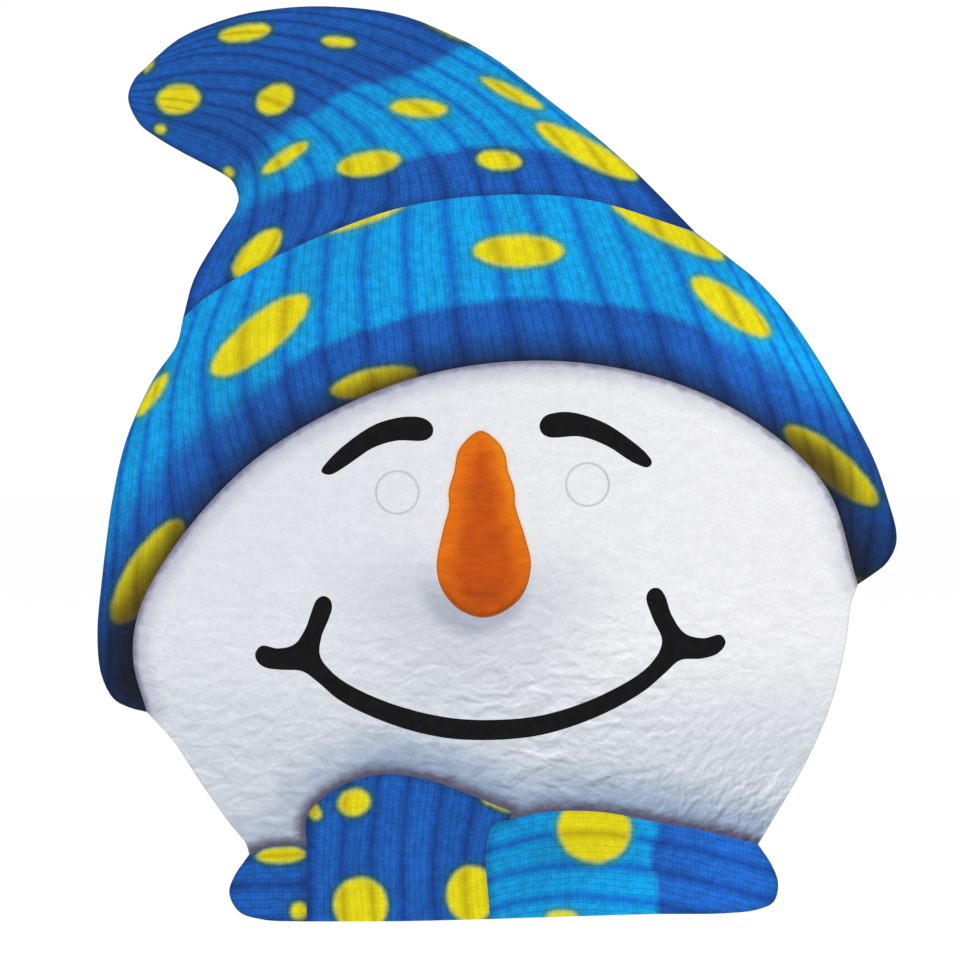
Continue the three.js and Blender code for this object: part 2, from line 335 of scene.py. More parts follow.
# The crown's run from the cuff up and round to the end of the drooping tip
CROWN_RIBS = {
    0: [
        (-0.104, 0.055), (-0.092, 0.083), (-0.085, 0.094), (-0.086, 0.101),
        (-0.095, 0.108), (-0.110, 0.115), (-0.124, 0.125),
    ],
    1: [
        (-0.089, 0.066), (-0.080, 0.087), (-0.078, 0.099), (-0.080, 0.109),
        (-0.092, 0.118), (-0.106, 0.122), (-0.124, 0.127),
    ],
    3: [
        (-0.064, 0.080), (-0.058, 0.094), (-0.059, 0.105), (-0.066, 0.115),
        (-0.080, 0.124), (-0.099, 0.128), (-0.124, 0.130),
    ],
    5: [
        (-0.036, 0.090), (-0.034, 0.100), (-0.037, 0.111), (-0.049, 0.124),
        (-0.068, 0.134), (-0.094, 0.138), (-0.124, 0.133),
    ],
    6: [
        (-0.015, 0.094), (-0.019, 0.108), (-0.030, 0.121), (-0.050, 0.1335),
        (-0.072, 0.142), (-0.096, 0.144), (-0.123, 0.136),
    ],
    7: [
        (-0.003, 0.096), (-0.006, 0.107), (-0.017, 0.121), (-0.036, 0.133),
        (-0.059, 0.143), (-0.089, 0.147), (-0.122, 0.138),
    ],
    9: [
        (0.022, 0.096), (0.016, 0.110), (0.000, 0.127), (-0.024, 0.142),
        (-0.051, 0.152), (-0.080, 0.155), (-0.118, 0.142),
    ],
    11: [
        (0.045, 0.092), (0.034, 0.111), (0.014, 0.131), (-0.012, 0.148),
        (-0.041, 0.158), (-0.074, 0.160), (-0.114, 0.148),
    ],
    12: [
        (0.062, 0.082), (0.046, 0.105), (0.022, 0.128), (-0.005, 0.149),
        (-0.031, 0.160), (-0.067, 0.163), (-0.110, 0.152),
    ],
}
# The scarf's run across its middle and right, and down its knot
SCARF_RIBS = {
    0: [(-0.008, -0.112), (0.009, -0.108), (0.026, -0.106), (0.049, -0.108), (0.098, -0.118)],
    1: [(-0.008, -0.122), (0.009, -0.117), (0.026, -0.114), (0.049, -0.116), (0.098, -0.128)],
    2: [(-0.008, -0.132), (0.009, -0.127), (0.026, -0.125), (0.049, -0.126), (0.098, -0.138)],
    3: [(-0.008, -0.142), (0.009, -0.137), (0.026, -0.135), (0.049, -0.137), (0.098, -0.148)],
    4: [(-0.008, -0.152), (0.009, -0.148), (0.026, -0.146), (0.049, -0.147), (0.098, -0.158)],
}
KNOT_RIBS = {
    0: [(-0.060, -0.148), (-0.060, -0.123), (-0.058, -0.090)],
    1: [(-0.049, -0.148), (-0.050, -0.123), (-0.047, -0.089)],
    3: [(-0.029, -0.148), (-0.030, -0.123), (-0.027, -0.090)],
    5: [(-0.008, -0.148), (-0.009, -0.123), (-0.003, -0.093)],
    6: [(0.003, -0.148), (0.001, -0.123), (0.011, -0.099)],
}
SCARF_END_RIBS = {
    0: [(-0.090, -0.114), (-0.074, -0.114), (-0.056, -0.113)],
    1: [(-0.092, -0.124), (-0.075, -0.122), (-0.056, -0.121)],
    2: [(-0.092, -0.132), (-0.075, -0.1315), (-0.056, -0.131)],
    3: [(-0.092, -0.144), (-0.075, -0.144), (-0.056, -0.143)],
}

# Yellow dots: x, z, length, width, tilt in degrees (up to the right is positive)
CROWN_DOTS = [
    (-0.082, 0.151, 0.019, 0.007, 9), (-0.104, 0.129, 0.016, 0.0115, 8),
    (-0.072, 0.129, 0.0145, 0.011, 28), (-0.110, 0.119, 0.0052, 0.0045, 0),
    (-0.0875, 0.1045, 0.0055, 0.0048, -60), (-0.114, 0.140, 0.0065, 0.0035, 50),
    (-0.051, 0.148, 0.0125, 0.005, -4), (-0.0686, 0.1096, 0.0195, 0.006, 34),
    (-0.041, 0.1076, 0.0225, 0.0095, 9), (-0.0243, 0.126, 0.0205, 0.0074, -3),
    (0.0065, 0.131, 0.024, 0.0056, -26), (-0.0155, 0.1525, 0.021, 0.0046, -26),
    (0.0022, 0.1088, 0.0165, 0.008, -5), (0.0313, 0.1117, 0.0395, 0.0096, -28),
    (-0.078, 0.078, 0.023, 0.0105, 45),
]
CUFF_DOTS = [
    (-0.0425, 0.0905, 0.032, 0.0074, 19), (0.0087, 0.0787, 0.0315, 0.0122, 0),
    (-0.077, 0.0507, 0.042, 0.0145, 39), (0.0583, 0.0854, 0.043, 0.0086, -26),
    (0.079, 0.0602, 0.033, 0.0112, -36), (-0.1128, 0.031, 0.019, 0.0056, 54),
    (-0.039, 0.035, 0.031, 0.011, 12), (-0.114, -0.0277, 0.042, 0.0155, 57),
    (0.1122, 0.0076, 0.041, 0.013, -40), (0.121, -0.030, 0.005, 0.003, -30),
]
SCARF_DOTS = [
    (0.0337, -0.113, 0.026, 0.0235, -8), (0.023, -0.142, 0.012, 0.006, 0),
]
KNOT_DOTS = [
    (-0.0458, -0.104, 0.0125, 0.0105, 15), (-0.0437, -0.138, 0.0195, 0.020, 0),
    (-0.007, -0.1345, 0.018, 0.0205, 0), (-0.059, -0.107, 0.0055, 0.0075, 30),
    (0.002, -0.105, 0.013, 0.0035, -20),
]
SCARF_END_DOTS = [
    (-0.064, -0.140, 0.0075, 0.0075, 0), (-0.070, -0.1215, 0.018, 0.0068, 3),
]


def dot_depth(dots, places):
    """How far each place lies inside the nearest dot; negative outside."""
    deepest = np.full(len(places), -FAR)
    for x, z, length, width, tilt in dots:
        angle = math.radians(tilt)
        turn = np.array([
            [math.cos(angle), -math.sin(angle)],
            [math.sin(angle), math.cos(angle)],
        ])
        radii = np.array([length, width]) / 2
        scaled = (places - (x, z)) @ turn / radii
        reach = np.linalg.norm(scaled, axis=1)
        steepness = np.linalg.norm(scaled / radii, axis=1)
        depth = (1 - reach) * reach / np.maximum(steepness, TINY)
        deepest = np.maximum(deepest, np.clip(depth, -FAR, width / 2))
    return deepest


# ---------------------------------------------------------------- materials

def inked(red, green, blue):
    """Print colour that looks like these screen values (0 to 255) in the studio light."""
    shown = np.array([red, green, blue]) / 255
    linear = np.where(shown <= 0.04, shown / 12.92, ((shown + 0.055) / 1.055) ** 2.4)
    return (*(np.maximum(linear - GLOSS_HAZE, 0) / LIGHT_LEVEL).tolist(), 1)


class Paint:
    """A node material. Each method adds a node and returns its output socket.

    Number keys count a node's input sockets, where their names repeat or are long.
    """

    def __init__(self, name):
        self.material = bpy.data.materials.new(name)
        self.material.use_nodes = True
        self.nodes = self.material.node_tree.nodes
        self.surface = self.nodes["Principled BSDF"]

    def wire(self, socket, value):
        if isinstance(value, bpy.types.NodeSocket):
            self.material.node_tree.links.new(value, socket)
        else:
            socket.default_value = value

    def add(self, kind, inputs, output=0, **settings):
        node = self.nodes.new(kind)
        for setting, value in settings.items():
            setattr(node, setting, value)
        for key, value in inputs.items():
            self.wire(node.inputs[key], value)
        return node.outputs[output]

    def math(self, operation, *values):
        inputs = dict(enumerate(values))
        return self.add("ShaderNodeMath", inputs, operation=operation)

    def ramp(self, value, start, end, low=0.0, high=1.0):
        inputs = {0: value, 1: start, 2: end, 3: low, 4: high}
        return self.add("ShaderNodeMapRange", inputs, interpolation_type="SMOOTHSTEP")

    def fade(self, distance, reach, near=0.0, strength=1.0):
        """A thing's strength at a distance from it: full up close and none at its reach."""
        return self.ramp(distance, reach, near, 0.0, strength)

    def mix(self, factor, first, second, blend="MIX"):
        inputs = {0: factor, 6: first, 7: second}
        settings = {"data_type": "RGBA", "blend_type": blend}
        return self.add("ShaderNodeMix", inputs, output=2, **settings)

    def tint(self, colour, factor, by):
        """Colour multiplied by another, as far as the factor says."""
        return self.mix(factor, colour, by, blend="MULTIPLY")

    def brightness(self, colour, level):
        return self.mix(1.0, colour, self.grey(level), blend="MULTIPLY")

    def grey(self, level):
        return self.add("ShaderNodeCombineColor", {0: level, 1: level, 2: level})

    def field(self, name):
        return self.add("ShaderNodeAttribute", {}, output="Fac", attribute_name=name)

    def place(self):
        return self.add("ShaderNodeTexCoord", {}, output="Object")

    def shifted(self, place, shift=(0, 0, 0), turn=0.0, scale=(1, 1, 1)):
        inputs = {1: shift, 2: (0, turn, 0), 3: scale}
        return self.add("ShaderNodeMapping", {0: place, **inputs})

    def axis(self, place, name):
        return self.add("ShaderNodeSeparateXYZ", {0: place}, output=name)

    def noise(self, place, size, detail=2.0, roughness=0.5, distortion=0.0):
        inputs = {
            "Vector": place, "Scale": 1 / size, "Detail": detail,
            "Roughness": roughness, "Distortion": distortion,
        }
        return self.add("ShaderNodeTexNoise", inputs)

    def finish(self, colour, roughness, specular, relief, relief_height):
        """Sets the surface: its colour, roughness, gloss level and fine relief."""
        self.wire(self.surface.inputs["Base Color"], colour)
        self.wire(self.surface.inputs["Roughness"], roughness)
        self.surface.inputs["Specular IOR Level"].default_value = specular
        inputs = {"Height": relief, "Distance": relief_height, "Strength": 1.0}
        self.wire(self.surface.inputs["Normal"], self.add("ShaderNodeBump", inputs))
        return self.material


PRINT_GLOSS = 0.12
PRINT_RELIEF = 0.000012
PRINT_ROUGHNESS = (0.4, 0.5)
TOOTH_SIZE = 0.0006
FILM_SIZE = 0.02

# The middle part of a noise's values, which hold most of it
NOISE_SPAN = (0.3, 0.7)


def finish_print(paint, colour):
    """Coated card: a smooth ink film with the faint tooth of the board under it."""
    place = paint.place()
    tooth = paint.noise(place, TOOTH_SIZE, detail=3)
    film = paint.noise(place, FILM_SIZE, detail=2)
    roughness = paint.ramp(film, *NOISE_SPAN, *PRINT_ROUGHNESS)
    return paint.finish(colour, roughness, PRINT_GLOSS, tooth, PRINT_RELIEF)


LIGHT_RIB = inked(24, 152, 220)
LIGHT_GROOVE = inked(20, 114, 200)
DARK_RIB = inked(34, 91, 175)
DARK_GROOVE = inked(30, 72, 149)
YELLOW_RIB = inked(226, 213, 28)
YELLOW_GROOVE = inked(198, 180, 20)
YELLOW_RIM = inked(202, 208, 70)
LIGHT_FRINGE = inked(48, 142, 132)
DARK_FRINGE = inked(34, 92, 98)
FOLD_SHADE = (0.75, 0.06, 0.02, 1)
YELLOW_SHADE = (0.13, 0.1, 1.0, 1)

# Ribs, measured in rib widths: how far they wander, and where a groove's slope starts and ends
RIB_WANDER = 0.14
WANDER_SIZE = 0.012
GROOVE_SLOPE = (0.03, 0.25)

# Stitches, measured in stitches: the slopes of a wale, a leg and a row with the levels that
# they reach, and the legs' slant
LEGS_PER_WALE = 2
WALE_SLOPE = (0.0, 0.3)
LEG_SLOPE = (0.0, 0.4)
LEG_LEVELS = (0.5, 1.0)
LEG_SLANT = 0.5
ROW_SLOPE = (0.0, 0.42)
ROW_LEVELS = (0.45, 1.0)

# How much the stitches show, how much that varies, and how much more the dark cloth's show
STITCH_CONTRAST = 0.24
STITCH_VARIETY = 0.2
DARK_GRIP = 1.2

# Unevenness of the cloth: the sizes of its lumps and blotches, and the levels they reach
FRAY_SIZE = 0.004
LUMP_SIZE = 0.0024
LUMP_LEVELS = (0.87, 1.13)
BLOTCH_SIZE = 0.018
BLOTCH_LEVELS = (0.94, 1.06)
RIB_LEVELS = (0.97, 1.03)

# The share of the cloth's unevenness, its border's fray and its shade that the dots take
YELLOW_GRIP = 0.45
YELLOW_FRAY = 0.5
YELLOW_SHADE_SPAN = (0.0, 0.9)

# Border of the two blues: its step from rib to rib, its fray, and how softly it melts
# between the middle of the mask and its sides
BORDER_STEP = 0.0022
BORDER_FRAY = 0.0024
MELT_SPAN = (0.055, 0.095)
MELT_WIDTHS = (0.0018, 0.0065)

# Edges of a dot, as depths inside it
DOT_EDGE = (-0.0003, 0.0020)
FRINGE_SPAN = (-0.0018, -0.0001)
RIM_SPAN = (0.0028, 0.0008)
EDGE_STRENGTH = 0.75


def knit_paint():
    """Ribbed knit in two blues with yellow dots, printed with its own soft shading."""
    paint = Paint("knit_print")
    place = paint.place()
    x = paint.axis(place, "X")
    wander = paint.math("SUBTRACT", paint.noise(place, WANDER_SIZE, detail=1), 0.5)
    rib = paint.math("MULTIPLY_ADD", wander, RIB_WANDER, paint.field("rib"))
    row = paint.math("DIVIDE", paint.field("row"), ROW_HEIGHT)

    # Broad ribs, with a groove at each whole number
    crest = paint.ramp(paint.math("PINGPONG", rib, 0.5), *GROOVE_SLOPE)
    own_rib = paint.math("FLOOR", rib)
    rib_chance = paint.add("ShaderNodeTexWhiteNoise", {"W": own_rib}, noise_dimensions="1D")

    # Stitches: bright loops side by side in fine wales, each a little different
    wale = paint.math("MULTIPLY", rib, WALES_PER_RIB)
    from_wale_gap = paint.math("PINGPONG", wale, 0.5)
    slanted_row = paint.math("MULTIPLY_ADD", from_wale_gap, LEG_SLANT, row)
    from_leg_gap = paint.math("PINGPONG", paint.math("MULTIPLY", wale, LEGS_PER_WALE), 0.5)
    legs = paint.ramp(from_leg_gap, *LEG_SLOPE, *LEG_LEVELS)
    across = paint.math("MULTIPLY", paint.ramp(from_wale_gap, *WALE_SLOPE), legs)
    along = paint.ramp(paint.math("PINGPONG", slanted_row, 0.5), *ROW_SLOPE, *ROW_LEVELS)
    cell = {0: paint.math("FLOOR", wale), 1: paint.math("FLOOR", slanted_row)}
    stitch = paint.add("ShaderNodeCombineXYZ", cell)
    stitch_chance = paint.add("ShaderNodeTexWhiteNoise", {"Vector": stitch})
    loop = paint.math("SUBTRACT", paint.math("MULTIPLY", across, along), MEAN_LOOP)
    unevenness = paint.noise(place, FRAY_SIZE, detail=3, roughness=0.6)

    # The border of the two blues steps a little from rib to rib, and melts towards the sides
    step = paint.math("MULTIPLY", paint.math("SUBTRACT", rib_chance, 0.5), BORDER_STEP)
    fray = paint.math("MULTIPLY", paint.math("SUBTRACT", unevenness, 0.5), BORDER_FRAY)
    light_depth = paint.math("ADD", paint.math("ADD", paint.field("light"), step), fray)
    softness = paint.ramp(paint.math("ABSOLUTE", x), *MELT_SPAN, *MELT_WIDTHS)
    light = paint.ramp(paint.math("DIVIDE", light_depth, softness), -1, 1)

    # Brightness: the dark cloth shows its stitches more than the light one, the dots less
    grip = paint.ramp(light, 0.0, 1.0, DARK_GRIP, 1.0)
    contrast = paint.math("MULTIPLY_ADD", stitch_chance, STITCH_VARIETY, STITCH_CONTRAST)
    stitches = paint.math("MULTIPLY_ADD", loop, paint.math("MULTIPLY", contrast, grip), 1.0)
    lumps = paint.ramp(paint.noise(place, LUMP_SIZE, detail=1), *NOISE_SPAN, *LUMP_LEVELS)
    blotches = paint.ramp(paint.noise(place, BLOTCH_SIZE, detail=3), *NOISE_SPAN, *BLOTCH_LEVELS)
    own_light = paint.ramp(rib_chance, 0.0, 1.0, *RIB_LEVELS)
    level = paint.math("MULTIPLY", paint.math("MULTIPLY", stitches, blotches), own_light)
    level = paint.math("MULTIPLY", paint.math("MULTIPLY", level, lumps), paint.field("tone"))
    yellow_level = paint.math("MULTIPLY_ADD", level, YELLOW_GRIP, 1 - YELLOW_GRIP)

    # Cloth, with a soft greenish fringe where yellow runs into blue
    depth = paint.math("MULTIPLY_ADD", fray, YELLOW_FRAY, paint.field("dot"))
    dark_cloth = paint.mix(crest, DARK_GROOVE, DARK_RIB)
    light_cloth = paint.mix(crest, LIGHT_GROOVE, LIGHT_RIB)
    cloth = paint.mix(light, dark_cloth, light_cloth)
    fringe = paint.ramp(depth, *FRINGE_SPAN, 0.0, EDGE_STRENGTH)
    cloth = paint.mix(fringe, cloth, paint.mix(light, DARK_FRINGE, LIGHT_FRINGE))
    cloth = paint.tint(cloth, paint.field("shade"), FOLD_SHADE)
    cloth = paint.brightness(cloth, level)

    # Dots, with a pale rim
    yellow = paint.mix(crest, YELLOW_GROOVE, YELLOW_RIB)
    yellow = paint.mix(paint.ramp(depth, *RIM_SPAN, 0.0, EDGE_STRENGTH), yellow, YELLOW_RIM)
    yellow_shade = paint.ramp(paint.field("shade"), *YELLOW_SHADE_SPAN)
    yellow = paint.tint(yellow, yellow_shade, YELLOW_SHADE)
    yellow = paint.brightness(yellow, yellow_level)
    return finish_print(paint, paint.mix(paint.ramp(depth, *DOT_EDGE), cloth, yellow))


SNOW_LEFT = inked(222, 225, 231)
SNOW_RIGHT = inked(237, 237, 240)
SNOW_LOW = inked(203, 209, 217)
SCARF_SHADOW = inked(147, 166, 192)
SCARF_CREASE = inked(84, 78, 100)
HAT_SHADOW = inked(184, 186, 204)
HAT_CREASE = inked(96, 94, 126)
NOSE_SHADOW = (0.5, 0.52, 0.6, 1)
# Painted shade of the perforation's slit: a grey ring on the snow and on each disc, round each
# punch-out eye
PERFORATION_SHADE = inked(185, 185, 189)
# Painted shade: a thin grey line along the card's cut outline where the snow meets it
CUT_EDGE_SHADE = inked(176, 178, 186)
NOSE_GLOW = inked(246, 208, 170)

# Fray of the printed shadows' edges on the snow: wide and soft, or narrow and ragged
SHADOW_WAVER = 0.008
CREASE_FRAY = 0.0024

# Snow, from left to right and from the brow down: where its colour and its shadows change
SNOW_BRIGHTENS = (-0.08, 0.09)
SNOW_DARKENS = (-0.045, -0.095)
HAT_SIDE = (0.0, 0.09)
SCARF_SIDE = (-0.064, -0.03)
NOSE_BROAD_SHADE = (-0.012, -0.036)
NOSE_TIGHT_SHADE = (-0.022, -0.042)
NOSE_GLOW_ENDS = (-0.034, -0.02)

# Ridges of brushed snow: their sizes, and where they grow and turn to a slant
LEVEL_RIDGE = 0.0046
SLANT_RIDGE = 0.0031
RIDGE_SLANT = 38
RIDGE_WARP = 0.6
RIDGE_LIGHT = (0, 0, 0.0010)
RIDGE_CONTRAST = 1.6
RIDGES_GROW_DOWN = (-0.015, -0.10)
RIDGES_GROW_RIGHT = (-0.08, 0.03)
RIDGES_FADE_RIGHT = (0.04, 0.08)
SLANT_RIGHT = (0.03, 0.08)
SLANT_DOWN = (-0.05, -0.1)
NECK_RIGHT = (0.04, 0.085)
NECK_DOWN = (-0.092, -0.112)
NECK_RIDGES = 0.6


def relief_shading(paint, place, size):
    """Light and dark of a surface lit from above: its height less its height higher up."""
    here = paint.noise(place, size, detail=3, distortion=RIDGE_WARP)
    above = paint.noise(paint.shifted(place, RIDGE_LIGHT), size, detail=3, distortion=RIDGE_WARP)
    return paint.math("SUBTRACT", here, above)


def snow_paint():
    """Packed snow, smooth on the brow and brushed into ridges towards the lower right."""
    paint = Paint("snow_print")
    place = paint.place()
    x = paint.axis(place, "X")
    z = paint.axis(place, "Z")
    mottle = paint.noise(place, size=0.006, detail=4, roughness=0.6)
    crumbs = paint.noise(place, size=0.0036, detail=2)
    waver = paint.math("MULTIPLY", paint.math("SUBTRACT", mottle, 0.5), SHADOW_WAVER)
    ragged = paint.math("MULTIPLY", paint.math("SUBTRACT", crumbs, 0.5), CREASE_FRAY)

    snow = paint.mix(paint.ramp(x, *SNOW_BRIGHTENS), SNOW_LEFT, SNOW_RIGHT)
    snow = paint.mix(paint.ramp(z, *SNOW_DARKENS, 0.0, 0.9), snow, SNOW_LOW)

    # Printed shadow under the hat, with a dark crease at the brim
    from_hat = paint.math("ADD", paint.field("hat"), ragged)
    hat_side = paint.ramp(x, *HAT_SIDE, 1.0, 0.5)
    hat_shadow = paint.fade(from_hat, reach=0.009, near=0.0005, strength=0.9)
    snow = paint.mix(paint.math("MULTIPLY", hat_shadow, hat_side), snow, HAT_SHADOW)
    snow = paint.mix(paint.fade(from_hat, reach=0.0026, strength=0.75), snow, HAT_CREASE)

    # Printed shadow over the scarf, with a dark crease along it
    from_scarf = paint.math("ADD", paint.field("scarf"), waver)
    scarf_side = paint.ramp(x, *SCARF_SIDE, 0.6, 1.0)
    scarf_shadow = paint.fade(from_scarf, reach=0.0215, near=0.003, strength=0.95)
    snow = paint.mix(paint.math("MULTIPLY", scarf_shadow, scarf_side), snow, SCARF_SHADOW)
    near_scarf = paint.math("ADD", paint.field("scarf"), ragged)
    scarf_crease = paint.fade(near_scarf, reach=0.0055, near=0.0004, strength=0.95)
    snow = paint.mix(scarf_crease, snow, SCARF_CREASE)

    # Printed shadow round the foot of the nose, and the carrot's glow on the snow above it
    broad = paint.fade(paint.field("under_nose"), reach=0.045, strength=0.4)
    broad = paint.math("MULTIPLY", broad, paint.ramp(z, *NOSE_BROAD_SHADE))
    tight = paint.fade(paint.field("under_nose"), reach=0.006, strength=0.5)
    tight = paint.math("MULTIPLY", tight, paint.ramp(z, *NOSE_TIGHT_SHADE))
    snow = paint.tint(snow, paint.math("ADD", broad, tight), NOSE_SHADOW)
    glow = paint.fade(paint.field("nose"), reach=0.0013, strength=0.8)
    snow = paint.mix(paint.math("MULTIPLY", glow, paint.ramp(z, *NOSE_GLOW_ENDS)), snow, NOSE_GLOW)

    # Ridges: level ones in the middle, slanting ones by the lower right edge
    level_place = paint.shifted(place, scale=(0.5, 1, 1))
    turned = paint.shifted(place, turn=math.radians(RIDGE_SLANT))
    slant_place = paint.shifted(turned, scale=(0.55, 1, 1))
    level_ridges = relief_shading(paint, level_place, LEVEL_RIDGE)
    slant_ridges = relief_shading(paint, slant_place, SLANT_RIDGE)
    slant = paint.math("MULTIPLY", paint.ramp(x, *SLANT_RIGHT), paint.ramp(z, *SLANT_DOWN))
    ridges = paint.add(
        "ShaderNodeMix", {0: slant, 2: level_ridges, 3: slant_ridges}, data_type="FLOAT"
    )
    downwards = paint.ramp(z, *RIDGES_GROW_DOWN, 0.12, 1.0)
    growth = paint.ramp(x, *RIDGES_GROW_RIGHT, 0.55, 1.0)
    rightwards = paint.math("MULTIPLY", growth, paint.ramp(x, *RIDGES_FADE_RIGHT, 1.0, 0.6))
    strength = paint.math("MULTIPLY", downwards, rightwards)
    neck = paint.math("MULTIPLY", paint.ramp(x, *NECK_RIGHT), paint.ramp(z, *NECK_DOWN))
    strength = paint.math("MULTIPLY_ADD", neck, NECK_RIDGES, strength)
    relief = paint.math("MULTIPLY", ridges, strength)

    # Brightness, and painted shade along the cut edges: round the card, and in the perforation
    # round each punch-out eye
    level = paint.math("MULTIPLY_ADD", relief, RIDGE_CONTRAST, 1.0)
    grain = paint.ramp(paint.noise(place, size=0.0012, detail=3), *NOISE_SPAN, 0.97, 1.03)
    patches = paint.ramp(mottle, *NOISE_SPAN, 0.98, 1.02)
    level = paint.math("MULTIPLY", level, paint.math("MULTIPLY", grain, patches))
    snow = paint.brightness(snow, level)
    snow = paint.mix(paint.fade(paint.field("edge"), 0.0007, strength=0.5), snow, CUT_EDGE_SHADE)
    snow = paint.mix(paint.fade(paint.field("cut"), 0.0004, strength=0.85), snow, PERFORATION_SHADE)
    return finish_print(paint, snow)


CARROT_CORE = inked(194, 83, 18)
CARROT_SIDE = inked(226, 112, 24)
CARROT_EDGE = inked(150, 98, 52)
CARROT_FOOT = inked(176, 72, 18)
CARROT_HIGHLIGHT = inked(232, 134, 24)
CREASE_SHADE = (0.62, 0.66, 0.5, 1)
FOOT_SHADE = (0.4, 0.34, 0.5, 1)

# The darker core, as depths inside the carrot's outline, and the fine rings' noise values
# and levels
CORE_SPAN = (0.001, 0.009)
CORE_WAVER = 0.006
RING_SPAN = (0.25, 0.75)
RING_LEVELS = (0.91, 1.09)

# The crease sags from its ends to its middle, and starts this deep inside the outline
CREASE_MIDDLE = (-0.0025, -0.0352)
CREASE_HALF_LENGTH = 0.0085
CREASE_SAG = 0.0012
CREASE_DEPTH = (0.0025, 0.007)

# Where the carrot turns to its darker foot, and where its shade and its shine start and end
CARROT_FOOT_GROWS = (-0.022, -0.040)
FOOT_SHADE_GROWS = (-0.026, -0.04)
SHINE_RIGHT = (-0.004, 0.003)
SHINE_UP = (-0.02, 0.005)


def carrot_paint():
    """Carrot with a darker middle, fine rings across it and a crease near its foot."""
    paint = Paint("carrot_print")
    place = paint.place()
    x = paint.axis(place, "X")
    z = paint.axis(place, "Z")
    depth = paint.field("depth")
    rings = paint.noise(paint.shifted(place, scale=(0.25, 1, 1)), size=0.0016, detail=2)
    blotches = paint.noise(place, size=0.005, detail=2)
    waver = paint.math("MULTIPLY", paint.math("SUBTRACT", blotches, 0.5), CORE_WAVER)
    core = paint.ramp(paint.math("ADD", depth, waver), *CORE_SPAN)
    carrot = paint.mix(core, CARROT_SIDE, CARROT_CORE)
    carrot = paint.mix(paint.ramp(z, *CARROT_FOOT_GROWS, 0.0, 0.7), carrot, CARROT_FOOT)
    shine = paint.fade(depth, reach=0.0045, near=0.001, strength=0.8)
    shine = paint.math("MULTIPLY", shine, paint.ramp(x, *SHINE_RIGHT))
    shine = paint.math("MULTIPLY", shine, paint.ramp(z, *SHINE_UP))
    carrot = paint.mix(shine, carrot, CARROT_HIGHLIGHT)

    # The crease, and the shade under it that follows the foot
    off_middle = paint.math("SUBTRACT", x, CREASE_MIDDLE[0])
    off_middle = paint.math("DIVIDE", off_middle, CREASE_HALF_LENGTH)
    bend = paint.math("MULTIPLY", off_middle, off_middle)
    crease_height = paint.math("MULTIPLY_ADD", bend, CREASE_SAG, CREASE_MIDDLE[1])
    from_crease = paint.math("ABSOLUTE", paint.math("SUBTRACT", z, crease_height))
    crease = paint.fade(from_crease, reach=0.0019, strength=0.55)
    crease = paint.math("MULTIPLY", crease, paint.ramp(depth, *CREASE_DEPTH))
    carrot = paint.tint(carrot, crease, CREASE_SHADE)
    foot = paint.fade(depth, reach=0.0028, strength=0.7)
    foot = paint.math("MULTIPLY", foot, paint.ramp(z, *FOOT_SHADE_GROWS))
    carrot = paint.tint(carrot, foot, FOOT_SHADE)
    carrot = paint.brightness(carrot, paint.ramp(rings, *RING_SPAN, *RING_LEVELS))
    carrot = paint.mix(paint.fade(depth, reach=0.0008, strength=0.8), carrot, CARROT_EDGE)
    return finish_print(paint, carrot)


INK_BLACK = (0.0008, 0.0003, 0.0008, 1)
INK_THIN = (0.0040, 0.0032, 0.0045, 1)


def ink_paint():
    """Solid black ink, a little thinner in places."""
    paint = Paint("black_ink_print")
    place = paint.place()
    patches = paint.noise(place, size=0.003, detail=4, roughness=0.6)
    colour = paint.mix(paint.ramp(patches, 0.35, 0.75), INK_BLACK, INK_THIN)
    return finish_print(paint, colour)


BOARD_WHITE = inked(226, 222, 212)
BOARD_GREY = inked(217, 212, 201)
BOARD_FIBRE = inked(196, 188, 172)
BOARD_FLECK = inked(150, 138, 118)

# Bare paper: its gloss level and the height of its fibres
PAPER_GLOSS = 0.25
PAPER_RELIEF = 0.00004


def board_paint():
    """Uncoated card: pale pulp with fibres lying both ways, flecks and faint cloudiness."""
    paint = Paint("pulp_board")
    place = paint.place()
    clouds = paint.noise(place, size=0.02, detail=4, roughness=0.6)
    level_fibres = paint.noise(paint.shifted(place, scale=(0.25, 1, 1)), 0.0011, 3, 0.6, 1.5)
    upright_fibres = paint.noise(paint.shifted(place, scale=(1, 1, 0.3)), 0.0013, 3, 0.6, 1.5)
    fibres = paint.math("MULTIPLY_ADD", upright_fibres, 0.6, level_fibres)
    flecks = paint.noise(place, size=0.0016, detail=1, distortion=2.5)
    colour = paint.mix(paint.ramp(clouds, *NOISE_SPAN), BOARD_WHITE, BOARD_GREY)
    colour = paint.mix(paint.ramp(fibres, 0.86, 1.12, 0.0, 0.45), colour, BOARD_FIBRE)
    colour = paint.mix(paint.ramp(flecks, 0.71, 0.78, 0.0, 0.6), colour, BOARD_FLECK)
    roughness = paint.ramp(fibres, 0.5, 1.1, 0.8, 0.92)
    return paint.finish(colour, roughness, PAPER_GLOSS, fibres, PAPER_RELIEF)


TAB_WHITE = inked(240, 236, 226)
TAB_SHADE = inked(222, 214, 198)
LAID_LINE = 0.0009


def tab_paint():
    """Gummed paper tab: finer and whiter than the board, with a laid texture."""
    paint = Paint("gummed_paper")
    place = paint.place()
    laid = paint.math("PINGPONG", paint.math("DIVIDE", paint.axis(place, "X"), LAID_LINE), 0.5)
    fibres = paint.noise(place, size=0.0009, detail=4, roughness=0.6)
    clouds = paint.noise(place, size=0.008, detail=3)
    colour = paint.mix(paint.ramp(clouds, *NOISE_SPAN), TAB_WHITE, TAB_SHADE)
    colour = paint.brightness(colour, paint.ramp(laid, 0.0, 0.5, 0.96, 1.02))
    relief = paint.math("MULTIPLY_ADD", laid, 0.5, fibres)
    roughness = paint.ramp(fibres, *NOISE_SPAN, 0.72, 0.88)
    return paint.finish(colour, roughness, PAPER_GLOSS, relief, PAPER_RELIEF)


# ---------------------------------------------------------------- the printed pieces

